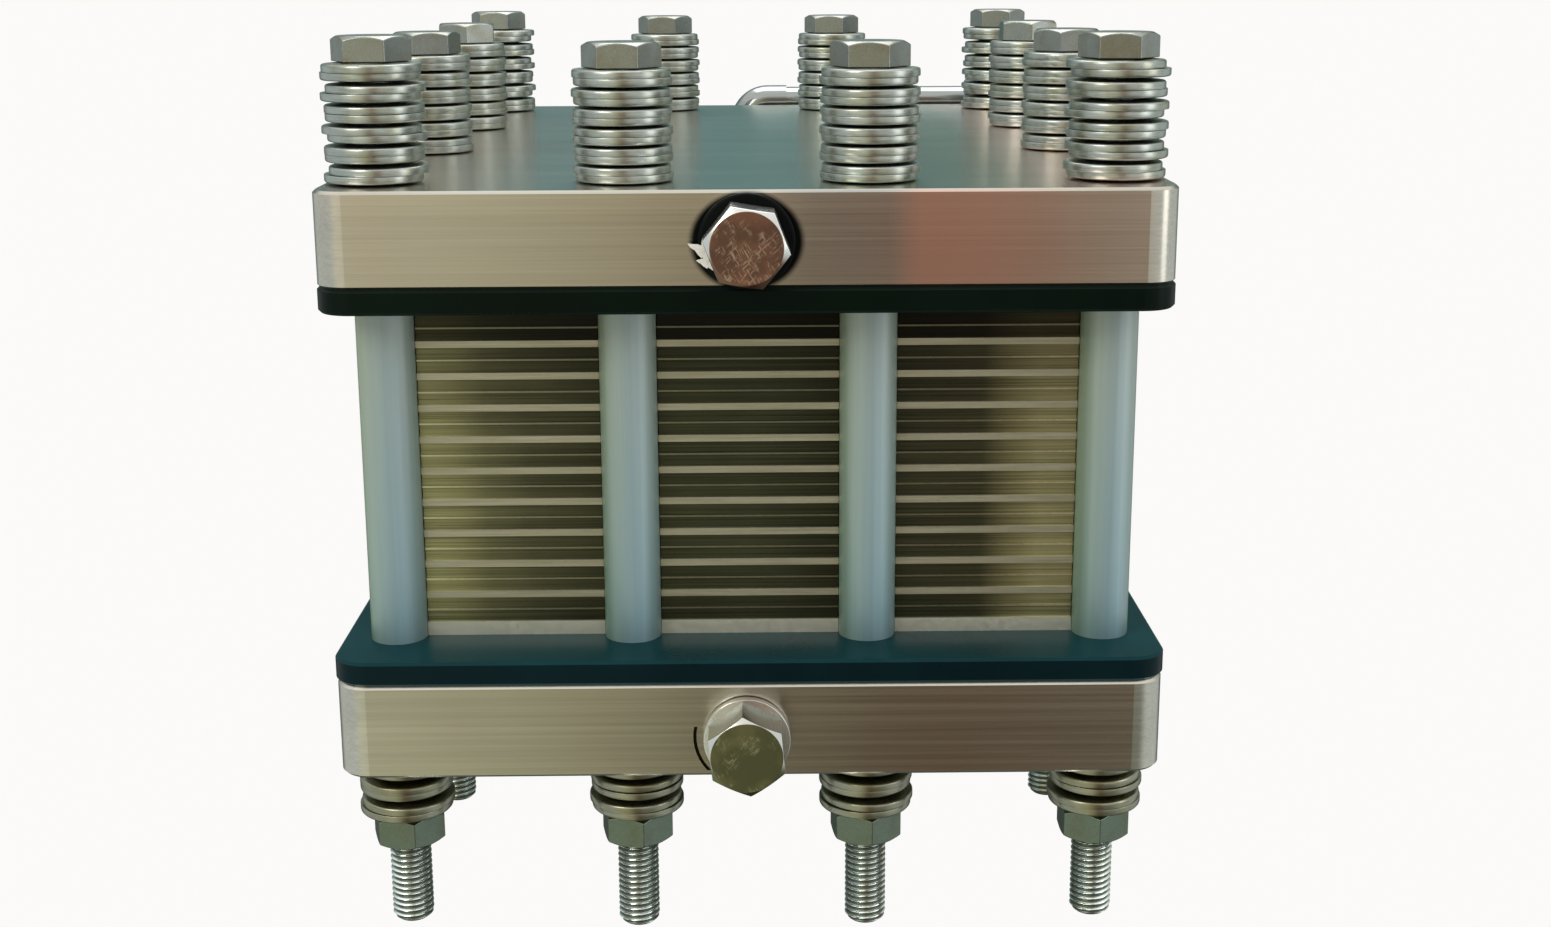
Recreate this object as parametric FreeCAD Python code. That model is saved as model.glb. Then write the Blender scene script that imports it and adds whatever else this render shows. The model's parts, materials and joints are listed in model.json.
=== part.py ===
"""Plate heat exchanger: a clamped stack of flow plates between two end plates.

Twelve tie bolts with disc springs hold the stack together.  Each sub-part is written
to parts/NODE.step.  Units are millimetres.  +Z is up, +Y points to the back, and the
origin is the middle of the bolt pattern, on the plane of the lowest bolt ends.
"""
import FreeCAD
import Part
import math
import os

Vec = FreeCAD.Vector
UP = Vec(0, 0, 1)
FRONT = Vec(0, -1, 0)
RIGHT = Vec(1, 0, 0)

# ---------------------------------------------------------------- driving dimensions
BOLT_PITCH_X = 67.0             # four bolts across
BOLT_PITCH_Y = 88.0             # four bolts front to back
BOLTS_A_SIDE = 4

PLATE_X = 230.0                 # end plates
BOTTOM_PLATE_X = 231.2
PLATE_Y = 310.0
PLATE_CORNER_R = 9.0
EDGE_BREAK = 0.8
TOP_PLATE_T = 26.0
BOTTOM_PLATE_T = 27.0
INSULATOR_T = 7.0
INSULATOR_EDGE_R = 0.8
TOP_INSULATOR_X = 230.8
BOTTOM_INSULATOR_X = 232.4      # the lower insulator stands out past its plate's sides

SEPARATORS = 9                  # thick metal plates between cells
SEPARATOR_T = 1.9
TERMINAL_T = 4.0                # the plates at both ends of the stack
FRAME_T = 3.35                  # moulded channel frame, two in a cell
CHANNEL_DEPTH = 1.2             # recess in the frame's sheet side that the fluid runs in
FRAME_INSET = 0.6               # the frames stop short of the metal plates' edges
SHEET_INSET = 0.2
SHEET_T = 0.5                   # thin heat transfer sheet between two frames
NOTCH_R = 8.1                   # scallop round each sleeve at the stack's edge

BOLT_D = 12.0                   # M12, 19 mm across flats
BOLT_LENGTH = 250.0
HEX_ACROSS_FLATS = 19.0
HEAD_H = 6.8
NUT_H = 9.2
BOLT_END_CHAMFER = (1.2, 0.5)    # across, along
FREE_THREAD_L = 26.0            # bare thread below the nut, to the bolt's end
BOLT_HOLE_D = 13.4
SLEEVE_D = 16.0
SLEEVE_BORE_D = 12.6
SLEEVE_SEAT_DEPTH = 4.0
SLEEVE_SEAT_D = 16.2
SLEEVE_END_GAP = 0.5

DISC_D = 26.8                   # disc springs
DISC_BORE_D = 13.8
DISC_T = 2.15
UPPER_PAIRS = 6
LOWER_PAIRS = 3
UPPER_PACK_SIDE = 30.6          # loaded height of six opposed pairs
UPPER_PACK_CORNER = 32.6        # the corner packs are pressed a little less
LOWER_PACK = 19.2
SIDE_PACK_PLAY = 0.35           # how far a disc sits off its bolt's axis
CORNER_PACK_PLAY = 0.75
HEAD_TURN = -4.5                # degrees; a corner of the hexagon towards +X is 0
HEAD_TURN_ACROSS = -3.4         # added from the middle to the right-hand bolts
HEAD_TURN_ROW = 19.0            # added for each row further back
NUT_TURN = 40.0
NUT_TURN_ACROSS = -8.0

PORT_THREAD_D = 16.6            # G 3/8
PORT_BORE_D = 16.8
PORT_BORE_DEPTH = 20.0
PORT_FEED_D = 14.0
TOP_PORT_DROP = 0.4             # how far the port's axis lies under mid-plate
BOTTOM_PORT_DROP = 1.8
BOTTOM_PORT_X = -1.0
MANIFOLD_D = 10.0
MANIFOLD_X = 8.0
MANIFOLD_INSET = 22.0           # from the stack's front or rear edge
ORING_R = 7.8
ORING_SECTION_R = 0.8

PLUG_ACROSS_FLATS = 20.0
UPPER_PLUG_LAND = 0.95          # of half the flats: the round land on a plug's end
LOWER_PLUG_LAND = 0.99
PLUG_SHANK_L = 14.0
UPPER_PLUG_STAND_OFF = 15.0     # plate face to plug face
LOWER_PLUG_STAND_OFF = 15.4
UPPER_COLLAR = (19.4, 0.6)      # outside diameter, thickness
LOWER_COLLAR = (24.2, 2.6)
UPPER_SEAL = (25.6, 2.5)
LOWER_SEAL = (23.6, 0.6)
REAR_SEAL = (24.0, 2.0)
SEAL_BORE_D = 17.0
TAPE_T = 0.35
UPPER_PLUG_TURN = 51.0          # degrees from a corner on +X
LOWER_PLUG_TURN = 95.5

TUBE_D = 12.0                   # rear connection
TUBE_BORE_D = 9.0
TUBE_END_X = 104.0
TUBE_ABOVE_PLATE = 0.2
ELBOW_D = 13.4
ELBOW_BEND_R = 9.0
ELBOW_LEAN = 20.0               # degrees off vertical

# ---------------------------------------------------------------- worked-out places
HALF_X = BOLT_PITCH_X * (BOLTS_A_SIDE - 1) / 2
HALF_Y = BOLT_PITCH_Y * (BOLTS_A_SIDE - 1) / 2
CELLS = SEPARATORS + 1
CELL_H = 2 * FRAME_T + SHEET_T
STACK_H = 2 * TERMINAL_T + SEPARATORS * SEPARATOR_T + CELLS * CELL_H
HEAD_Z = BOLT_LENGTH
TOP_PLATE_Z = HEAD_Z - UPPER_PACK_SIDE - TOP_PLATE_T
TOP_INSULATOR_Z = TOP_PLATE_Z - INSULATOR_T
STACK_Z = TOP_INSULATOR_Z - STACK_H
BOTTOM_INSULATOR_Z = STACK_Z - INSULATOR_T
BOTTOM_PLATE_Z = BOTTOM_INSULATOR_Z - BOTTOM_PLATE_T
NUT_Z = BOTTOM_PLATE_Z - LOWER_PACK - NUT_H
CORNER_LIFT = UPPER_PACK_CORNER - UPPER_PACK_SIDE
TOP_PORT_Z = TOP_PLATE_Z + TOP_PLATE_T / 2 - TOP_PORT_DROP
BOTTOM_PORT_Z = BOTTOM_PLATE_Z + BOTTOM_PLATE_T / 2 - BOTTOM_PORT_DROP
FACE_Y = PLATE_Y / 2
MANIFOLD_Y = HALF_Y - MANIFOLD_INSET
TOP_MANIFOLDS = [(-MANIFOLD_X, -MANIFOLD_Y), (-MANIFOLD_X, MANIFOLD_Y)]
BOTTOM_MANIFOLDS = [(MANIFOLD_X, -MANIFOLD_Y), (MANIFOLD_X, MANIFOLD_Y)]
ALL_MANIFOLDS = TOP_MANIFOLDS + BOTTOM_MANIFOLDS


def bolt_places():
    """Return (x, y, is_corner) for the twelve bolts of the 4 x 4 border."""
    places = []
    last = BOLTS_A_SIDE - 1
    for i in range(BOLTS_A_SIDE):
        for j in range(BOLTS_A_SIDE):
            if i in (0, last) or j in (0, last):
                corner = i in (0, last) and j in (0, last)
                x = -HALF_X + i * BOLT_PITCH_X
                y = -HALF_Y + j * BOLT_PITCH_Y
                places.append((x, y, corner))
    return places


BOLTS = bolt_places()
CORNER_BOLTS = [(x, y) for x, y, corner in BOLTS if corner]
SIDE_BOLTS = [(x, y) for x, y, corner in BOLTS if not corner]
ALL_BOLTS = [(x, y) for x, y, corner in BOLTS]


# ---------------------------------------------------------------- shape helpers
def cylinder(diameter, height, base, axis=UP):
    return Part.makeCylinder(diameter / 2, height, base, axis)


def ring(outside_d, bore_d, height, base, axis=UP):
    bore = cylinder(bore_d, height + 2, base - axis * 1, axis)
    return cylinder(outside_d, height, base, axis).cut(bore)


def revolve(profile, x, y, base_z):
    """Turn a closed (radius, height) outline about the vertical through x, y."""
    points = [Vec(x + r, y, base_z + h) for r, h in profile]
    face = Part.Face(Part.makePolygon(points + points[:1]))
    return face.revolve(Vec(x, y, 0), UP, 360)


def turn_to(shape, axis):
    """Swing a shape modelled along +Z at the origin so that it lies along axis."""
    shape.Placement = FreeCAD.Placement(Vec(), FreeCAD.Rotation(UP, axis)) * shape.Placement
    return shape


def hexagon(across_flats, height, turn=0.0, chamfer_low=False, chamfer_high=True, land=0.95):
    """A hexagon bar along +Z from the origin, with 30 degree corner chamfers."""
    corner_r = across_flats / math.sqrt(3)
    points = []
    for k in range(6):
        angle = math.radians(turn + 60 * k)
        points.append(Vec(corner_r * math.cos(angle), corner_r * math.sin(angle), 0))
    bar = Part.Face(Part.makePolygon(points + points[:1])).extrude(UP * height)
    face_r = across_flats / 2 * land
    drop = (corner_r - face_r) * math.tan(math.radians(30))
    low_r = face_r if chamfer_low else corner_r
    high_r = face_r if chamfer_high else corner_r
    low_drop = drop if chamfer_low else 0.0
    high_drop = drop if chamfer_high else 0.0
    outline = [(0, 0), (low_r, 0), (corner_r, low_drop), (corner_r, height - high_drop),
               (high_r, height), (0, height)]
    clean = []
    for point in outline:
        if not clean or point != clean[-1]:
            clean.append(point)
    return bar.common(revolve(clean, 0, 0, 0))


def rounded_slab(size_x, size_y, corner_r, height, base_z, edge_r=0.0):
    """A flat plate with round upright corners and, if asked, broken long edges."""
    slab = Part.makeBox(size_x, size_y, height, Vec(-size_x / 2, -size_y / 2, base_z))
    uprights = [e for e in slab.Edges if abs(e.tangentAt(0).z) > 0.99]
    slab = slab.makeFillet(corner_r, uprights)
    if edge_r:
        rims = [e for e in slab.Edges if abs(e.BoundBox.ZLength) < 1e-6]
        slab = slab.makeChamfer(edge_r, rims)
    return slab


def drill(shape, places, diameter, base_z, height):
    for x, y in places:
        shape = shape.cut(cylinder(diameter, height, Vec(x, y, base_z)))
    return shape


def save(name, shape):
    shape.exportStep("parts/%s.step" % name)


# ---------------------------------------------------------------- end plates
def port_bore(plate, port_x, port_z, side, manifold_x, drill_down):
    """Cut one side port: a threaded mouth, a feed bore and its upright drilling."""
    inward = Vec(0, -side, 0)
    mouth = Vec(port_x, side * FACE_Y, port_z)
    outside = mouth - inward * 1
    plate = plate.cut(cylinder(PORT_BORE_D, PORT_BORE_DEPTH + 1, outside, inward))
    reach = FACE_Y - MANIFOLD_Y + MANIFOLD_D / 2 + 3
    plate = plate.cut(cylinder(PORT_FEED_D, reach + 1, outside, inward))
    upright = BOTTOM_PLATE_T / 2 + BOTTOM_PORT_DROP + 1
    low_z = port_z - upright if drill_down else port_z
    foot = Vec(manifold_x, side * MANIFOLD_Y, low_z)
    return plate.cut(cylinder(MANIFOLD_D, upright, foot))


def end_plate(size_x, base_z, thickness, port_x, port_z, manifold_x, drill_down):
    plate = rounded_slab(size_x, PLATE_Y, PLATE_CORNER_R, thickness, base_z, EDGE_BREAK)
    plate = drill(plate, ALL_BOLTS, BOLT_HOLE_D, base_z - 1, thickness + 2)
    for side in (-1, 1):
        plate = port_bore(plate, port_x, port_z, side, manifold_x, drill_down)
    return plate


def tool_mark():
    """The curved score that a seal ring left beside the lower plug."""
    score = ring(30.0, 28.2, 1.5, Vec(BOTTOM_PORT_X, -FACE_Y + 0.7, BOTTOM_PORT_Z), FRONT)
    keep = Part.makeBox(8.0, 3.0, 13.0, Vec(BOTTOM_PORT_X - 16.0, -FACE_Y - 2, BOTTOM_PORT_Z - 10.0))
    return score.common(keep)


def insulator(size_x, base_z, manifolds, faces_down):
    """An insulating slab with sleeve seats on its stack side and O-ring grooves."""
    slab = rounded_slab(size_x, PLATE_Y, PLATE_CORNER_R + 1, INSULATOR_T, base_z,
                        INSULATOR_EDGE_R)
    slab = drill(slab, ALL_BOLTS, BOLT_HOLE_D, base_z - 1, INSULATOR_T + 2)
    seat_z = base_z - 1 if faces_down else base_z + INSULATOR_T - SLEEVE_SEAT_DEPTH
    slab = drill(slab, ALL_BOLTS, SLEEVE_SEAT_D, seat_z, SLEEVE_SEAT_DEPTH + 1)
    slab = drill(slab, manifolds, MANIFOLD_D, base_z - 1, INSULATOR_T + 2)
    groove_w = 2 * ORING_SECTION_R + 0.4
    for x, y in manifolds:
        for z in (base_z, base_z + INSULATOR_T - 2 * ORING_SECTION_R):
            groove = ring(2 * ORING_R + groove_w, 2 * ORING_R - groove_w,
                          2 * ORING_SECTION_R, Vec(x, y, z))
            slab = slab.cut(groove)
    return slab


def manifold_seals(base_z, manifolds):
    rings = []
    for x, y in manifolds:
        for z in (base_z + ORING_SECTION_R, base_z + INSULATOR_T - ORING_SECTION_R):
            rings.append(Part.makeTorus(ORING_R, ORING_SECTION_R, Vec(x, y, z)))
    return Part.makeCompound(rings)


# ---------------------------------------------------------------- the plate stack
def stack_blank(thickness, base_z, inset=0.0):
    """The stack's outline: a scallop round each sleeve, the corner ones too."""
    blank = Part.makeBox(2 * (HALF_X - inset), 2 * (HALF_Y - inset), thickness,
                         Vec(-HALF_X + inset, -HALF_Y + inset, base_z))
    return drill(blank, ALL_BOLTS, 2 * (NOTCH_R + inset / 4), base_z - 1, thickness + 2)


def flow_plate(thickness, base_z, manifolds, inset=0.0):
    blank = stack_blank(thickness, base_z, inset)
    return drill(blank, manifolds, MANIFOLD_D, base_z - 1, thickness + 2)


def channel_frame(base_z, recess_z, open_side):
    """A moulded frame with a shallow recess from recess_z up that the fluid runs in.

    open_side is -1 or +1: the end, front or back, whose circuit flows in this frame; the
    other circuit's manifolds pass through sealed bosses.  A middle rib sends the flow
    down one half of the recess and back up the other.
    """
    rim = 16.0
    recess_x = 2 * (HALF_X - rim)
    recess_y = 2 * (HALF_Y - rim)
    rib_w = 3.0
    rib_gap = 36.0
    boss_d = 20.0
    recess = rounded_slab(recess_x, recess_y, 10.0, CHANNEL_DEPTH, recess_z)
    rib_l = recess_y - rib_gap + 2
    rib_y = -HALF_Y + rim - 1 if open_side < 0 else HALF_Y - rim + 1 - rib_l
    rib = Part.makeBox(rib_w, rib_l, CHANNEL_DEPTH, Vec(-rib_w / 2, rib_y, recess_z))
    recess = recess.cut(rib)
    for x in (-MANIFOLD_X, MANIFOLD_X):
        boss = cylinder(boss_d, CHANNEL_DEPTH, Vec(x, -open_side * MANIFOLD_Y, recess_z))
        recess = recess.cut(boss)
    frame = stack_blank(FRAME_T, base_z, FRAME_INSET).cut(recess)
    return drill(frame, ALL_MANIFOLDS, MANIFOLD_D, base_z - 1, FRAME_T + 2).removeSplitter()


def write_stack():
    z = STACK_Z
    save("bottom_terminal_plate", flow_plate(TERMINAL_T, z, BOTTOM_MANIFOLDS))
    z += TERMINAL_T
    for cell in range(CELLS):
        number = CELLS - cell
        sheet_z = z + FRAME_T
        low = channel_frame(z, sheet_z - CHANNEL_DEPTH, 1)
        high = channel_frame(sheet_z + SHEET_T, sheet_z + SHEET_T, -1)
        save("channel_frames_%02d" % number, Part.makeCompound([low, high]))
        sheet = flow_plate(SHEET_T, sheet_z, ALL_MANIFOLDS, SHEET_INSET)
        save("transfer_sheet_%02d" % number, sheet)
        z += CELL_H
        if cell < SEPARATORS:
            name = "separator_plate_%02d" % (SEPARATORS - cell)
            save(name, flow_plate(SEPARATOR_T, z, ALL_MANIFOLDS))
            z += SEPARATOR_T
    save("top_terminal_plate", flow_plate(TERMINAL_T, z, TOP_MANIFOLDS))


# ---------------------------------------------------------------- tie bolts and springs
def tie_bolt(x, y, lift, head_turn):
    head = hexagon(HEX_ACROSS_FLATS, HEAD_H, head_turn)
    head.translate(Vec(x, y, HEAD_Z + lift))
    radius = BOLT_D / 2
    across, along = BOLT_END_CHAMFER
    shank = revolve([(0, 0), (radius - across, 0), (radius, along), (radius, FREE_THREAD_L - lift),
                     (radius, BOLT_LENGTH + 1), (0, BOLT_LENGTH + 1)], x, y, lift)
    return shank.fuse(head)


def head_turn(x, y):
    """Each head stopped at its own angle when it was tightened."""
    row = (y + HALF_Y) / BOLT_PITCH_Y
    return HEAD_TURN + HEAD_TURN_ACROSS * x / HALF_X + HEAD_TURN_ROW * row


def tie_nut(x, y):
    row = (y + HALF_Y) / BOLT_PITCH_Y
    turn = NUT_TURN + NUT_TURN_ACROSS * x / HALF_X + HEAD_TURN_ROW * row
    nut = hexagon(HEX_ACROSS_FLATS, NUT_H, turn, True, True)
    nut = nut.cut(cylinder(BOLT_D + 0.1, NUT_H + 2, Vec(0, 0, -1)))
    nut.translate(Vec(x, y, NUT_Z))
    return nut


def disc(x, y, base_z, cone, cup_up):
    """One coned disc: cup_up puts the outer edge above the inner edge."""
    inner, outer = DISC_BORE_D / 2, DISC_D / 2
    low_in = 0.0 if cup_up else cone
    low_out = cone - low_in
    outline = [(inner, low_in), (outer, low_out), (outer, low_out + DISC_T),
               (inner, low_in + DISC_T)]
    return revolve(outline, x, y, base_z)


def disc_pack(x, y, base_z, height, pairs, play):
    """Opposed pairs: each pair meets at its outer edges, pair to pair at the inner.

    The bores are loose on the bolt, so each disc sits off its axis by play, and the
    side it leans to turns from disc to disc.
    """
    discs = []
    disc_h = height / (2 * pairs)
    cone = disc_h - DISC_T
    for k in range(2 * pairs):
        angle = 2.4 * k + 0.05 * x + 0.03 * y
        px = x + play * math.cos(angle)
        py = y + play * math.sin(angle)
        discs.append(disc(px, py, base_z + k * disc_h, cone, k % 2 == 0))
    return discs


def disc_packs(places, base_z, height, pairs, play):
    discs = []
    for x, y in places:
        discs += disc_pack(x, y, base_z, height, pairs, play)
    return Part.makeCompound(discs)


def sleeve(x, y):
    base_z = STACK_Z - SLEEVE_SEAT_DEPTH
    height = STACK_H + 2 * SLEEVE_SEAT_DEPTH - SLEEVE_END_GAP
    return ring(SLEEVE_D, SLEEVE_BORE_D, height, Vec(x, y, base_z))


def write_fasteners():
    corner = [tie_bolt(x, y, CORNER_LIFT, head_turn(x, y)) for x, y in CORNER_BOLTS]
    side = [tie_bolt(x, y, 0.0, head_turn(x, y)) for x, y in SIDE_BOLTS]
    save("tie_bolts_corner", Part.makeCompound(corner))
    save("tie_bolts_side", Part.makeCompound(side))
    save("tie_nuts", Part.makeCompound([tie_nut(x, y) for x, y in ALL_BOLTS]))
    save("bolt_sleeves", Part.makeCompound([sleeve(x, y) for x, y in ALL_BOLTS]))
    top_z = TOP_PLATE_Z + TOP_PLATE_T
    low_z = BOTTOM_PLATE_Z - LOWER_PACK
    save("upper_disc_springs_corner",
         disc_packs(CORNER_BOLTS, top_z, UPPER_PACK_CORNER, UPPER_PAIRS, CORNER_PACK_PLAY))
    save("upper_disc_springs_side",
         disc_packs(SIDE_BOLTS, top_z, UPPER_PACK_SIDE, UPPER_PAIRS, SIDE_PACK_PLAY))
    save("lower_disc_springs",
         disc_packs(ALL_BOLTS, low_z, LOWER_PACK, LOWER_PAIRS, SIDE_PACK_PLAY))


# ---------------------------------------------------------------- ports and plugs
def seal_ring(size, port_x, port_z, side):
    outside_d, thickness = size
    return ring(outside_d, SEAL_BORE_D, thickness, Vec(port_x, side * FACE_Y, port_z),
                Vec(0, side, 0))


def port_plug(port_x, port_z, stand_off, seat, collar_size, land, turn):
    """A hexagon plug with a collar: seat is the gap from the plate to the collar."""
    collar_d, collar_t = collar_size
    head_h = stand_off - seat - collar_t
    head = hexagon(PLUG_ACROSS_FLATS, head_h, turn, False, True, land)
    head.translate(UP * collar_t)
    collar = cylinder(collar_d, collar_t, Vec())
    collar = collar.makeChamfer(0.2, [e for e in collar.Edges if e.Closed])
    radius = PORT_THREAD_D / 2
    shank = revolve([(0, 0), (radius - 1, 0), (radius, 1), (radius, PLUG_SHANK_L + 0.5),
                     (0, PLUG_SHANK_L + 0.5)], 0, 0, -PLUG_SHANK_L)
    plug = head.fuse(collar).fuse(shank).removeSplitter()
    plug.rotate(Vec(), RIGHT, 90)
    plug.translate(Vec(port_x, -FACE_Y - seat, port_z))
    return plug


def seal_tape():
    """Thread tape squeezed out under the upper plug: a thin band, wide on one side, and
    two loose tongues."""
    y = -FACE_Y - UPPER_SEAL[1]
    band = ring(19.4, 17.2, TAPE_T, Vec(0, y, TOP_PORT_Z), FRONT)
    bulge = [(9.4, 165), (11.6, 172), (12.3, 180), (12.3, 195), (12.2, 210), (11.8, 222),
             (9.4, 232), (9.4, 220), (9.4, 208), (9.4, 196), (9.4, 184), (9.4, 173)]
    turned = [(r * math.cos(math.radians(a)), r * math.sin(math.radians(a))) for r, a in bulge]
    tongues = [[(-11.2, -0.8), (-13.4, -0.9), (-15.5, -0.2), (-13.6, -1.9), (-11.0, -4.4)],
               [(-10.8, -4.4), (-12.2, -4.2), (-13.3, -4.7), (-11.6, -5.5), (-9.6, -6.6)]]
    for outline in [turned] + tongues:
        points = [Vec(x, y, TOP_PORT_Z + z) for x, z in outline]
        face = Part.Face(Part.makePolygon(points + points[:1]))
        band = band.fuse(face.extrude(FRONT * TAPE_T))
    return band.removeSplitter()


def bend(start, heading_from, heading_to, bend_r, diameter):
    """A quarter-like bend of round bar; returns the solid and its end point."""
    normal = heading_from.cross(heading_to).normalize()
    centre = start + normal.cross(heading_from) * bend_r
    angle = math.degrees(heading_from.getAngle(heading_to))
    circle = Part.Circle(start, heading_from, diameter / 2)
    face = Part.Face(Part.Wire(circle.toShape()))
    solid = face.revolve(centre, normal, angle)
    end = centre - normal.cross(heading_to) * bend_r
    return solid, end


def rear_elbow():
    """A stud elbow in the rear port of the top plate; its riser leans to the left."""
    seat = REAR_SEAL[1]
    hex_h, neck_l = 9.0, 9.0
    stud = cylinder(PORT_THREAD_D, PLUG_SHANK_L + 1, Vec(0, 0, -PLUG_SHANK_L))
    nut = hexagon(22.0, hex_h, 30.0, False, True)
    corner_y = FACE_Y + seat + hex_h + neck_l
    body = stud.fuse(nut).fuse(cylinder(16.0, neck_l + 1, Vec(0, 0, hex_h - 1)))
    body.rotate(Vec(), RIGHT, -90)
    body.translate(Vec(0, FACE_Y + seat, TOP_PORT_Z))
    lean = math.radians(ELBOW_LEAN)
    riser_dir = Vec(-math.sin(lean), 0, math.cos(lean))
    corner = Vec(0, corner_y, TOP_PORT_Z)
    body = body.fuse(Part.makeSphere(8.0, corner))
    tube_z = TOP_PLATE_Z + TOP_PLATE_T + TUBE_ABOVE_PLATE
    rise = tube_z - TOP_PORT_Z - ELBOW_BEND_R * (1 + math.sin(lean))
    riser_l = rise / math.cos(lean)
    body = body.fuse(cylinder(ELBOW_D, riser_l, corner, riser_dir))
    knee, mouth = bend(corner + riser_dir * riser_l, riser_dir, RIGHT, ELBOW_BEND_R, ELBOW_D)
    body = body.fuse(knee).fuse(cylinder(ELBOW_D, 8.0, mouth, RIGHT))
    body = body.cut(cylinder(TUBE_BORE_D, corner_y - FACE_Y + PLUG_SHANK_L + 20,
                             corner, FRONT))
    body = body.cut(cylinder(TUBE_BORE_D, riser_l, corner, riser_dir))
    inner, mouth = bend(corner + riser_dir * riser_l, riser_dir, RIGHT, ELBOW_BEND_R,
                        TUBE_BORE_D)
    body = body.cut(inner)
    body = body.cut(cylinder(TUBE_BORE_D, 10.0, mouth, RIGHT))
    body = body.cut(cylinder(TUBE_D, 10.0, mouth + RIGHT * 1.0, RIGHT))
    return body, mouth


def write_ports():
    save("upper_port_plug", port_plug(0, TOP_PORT_Z, UPPER_PLUG_STAND_OFF,
                                      UPPER_SEAL[1] + TAPE_T, UPPER_COLLAR, UPPER_PLUG_LAND,
                                      UPPER_PLUG_TURN))
    save("upper_plug_seal", seal_ring(UPPER_SEAL, 0, TOP_PORT_Z, -1))
    save("thread_seal_tape", seal_tape())
    save("lower_port_plug", port_plug(BOTTOM_PORT_X, BOTTOM_PORT_Z, LOWER_PLUG_STAND_OFF,
                                      LOWER_SEAL[1], LOWER_COLLAR, LOWER_PLUG_LAND,
                                      LOWER_PLUG_TURN))
    save("lower_plug_seal", seal_ring(LOWER_SEAL, BOTTOM_PORT_X, BOTTOM_PORT_Z, -1))
    save("rear_elbow_seal", seal_ring(REAR_SEAL, 0, TOP_PORT_Z, 1))
    elbow, mouth = rear_elbow()
    save("rear_elbow", elbow)
    tube_start = mouth + RIGHT * 1.0
    tube_l = TUBE_END_X - tube_start.x
    save("rear_tube", ring(TUBE_D, TUBE_BORE_D, tube_l, tube_start, RIGHT))
    nut_x = TUBE_END_X - 12.0
    nut = turn_to(hexagon(16.0, 14.0, 0.0, True, True), RIGHT)
    nut.translate(Vec(nut_x, mouth.y, mouth.z))
    nut = nut.cut(cylinder(TUBE_D, 20.0, Vec(nut_x - 1, mouth.y, mouth.z), RIGHT))
    save("tube_nut", nut)
    cap_x = nut_x + 14.0
    cap = cylinder(15.0, 8.0, Vec(cap_x, mouth.y, mouth.z), RIGHT)
    cap = cap.makeChamfer(1.2, [e for e in cap.Edges if e.Closed])
    spigot = cylinder(TUBE_D, cap_x - TUBE_END_X + 2, Vec(TUBE_END_X, mouth.y, mouth.z), RIGHT)
    save("tube_cap", cap.fuse(spigot).removeSplitter())


# ---------------------------------------------------------------- write every node
def main():
    os.makedirs("parts", exist_ok=True)
    save("top_end_plate",
         end_plate(PLATE_X, TOP_PLATE_Z, TOP_PLATE_T, 0, TOP_PORT_Z, -MANIFOLD_X, True))
    bottom = end_plate(BOTTOM_PLATE_X, BOTTOM_PLATE_Z, BOTTOM_PLATE_T, BOTTOM_PORT_X,
                       BOTTOM_PORT_Z, MANIFOLD_X, False)
    save("bottom_end_plate", bottom.cut(tool_mark()))
    save("top_insulator", insulator(TOP_INSULATOR_X, TOP_INSULATOR_Z, TOP_MANIFOLDS, True))
    save("bottom_insulator",
         insulator(BOTTOM_INSULATOR_X, BOTTOM_INSULATOR_Z, BOTTOM_MANIFOLDS, False))
    save("top_manifold_seals", manifold_seals(TOP_INSULATOR_Z, TOP_MANIFOLDS))
    save("bottom_manifold_seals", manifold_seals(BOTTOM_INSULATOR_Z, BOTTOM_MANIFOLDS))
    write_stack()
    write_fasteners()
    write_ports()


main()
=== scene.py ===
"""Looks of the plate heat exchanger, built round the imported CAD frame.

The CAD nodes with a right shape keep it and get a material.  Bolts, nuts, disc springs,
plugs, rings and tape are remodelled here at the same size and place, with the threads,
rounded edges and torn ends that the CAD solids leave out.  Lengths are in metres.
"""
import json
import math
import random

import bpy
from mathutils import Matrix, Vector


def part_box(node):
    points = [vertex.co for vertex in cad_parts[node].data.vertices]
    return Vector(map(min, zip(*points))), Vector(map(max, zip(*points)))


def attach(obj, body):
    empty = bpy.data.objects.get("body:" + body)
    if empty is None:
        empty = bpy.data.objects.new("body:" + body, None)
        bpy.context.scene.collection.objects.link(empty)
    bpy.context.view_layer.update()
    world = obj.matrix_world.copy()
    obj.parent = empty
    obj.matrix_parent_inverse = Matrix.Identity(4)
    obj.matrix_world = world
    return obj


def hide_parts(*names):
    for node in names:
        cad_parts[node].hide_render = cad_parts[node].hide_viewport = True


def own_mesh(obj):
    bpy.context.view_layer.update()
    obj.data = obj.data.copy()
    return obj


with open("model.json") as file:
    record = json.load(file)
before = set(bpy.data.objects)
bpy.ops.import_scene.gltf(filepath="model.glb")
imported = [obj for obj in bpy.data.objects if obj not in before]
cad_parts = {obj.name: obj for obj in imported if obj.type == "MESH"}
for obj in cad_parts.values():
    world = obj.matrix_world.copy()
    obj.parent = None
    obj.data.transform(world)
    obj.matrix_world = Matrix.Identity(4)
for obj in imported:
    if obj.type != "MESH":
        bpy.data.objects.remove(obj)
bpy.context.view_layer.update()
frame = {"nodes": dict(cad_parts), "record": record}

MM = 0.001
NODES = frame["nodes"]
BASE = "stack_and_base"
TOP = "top_cover"

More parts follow.
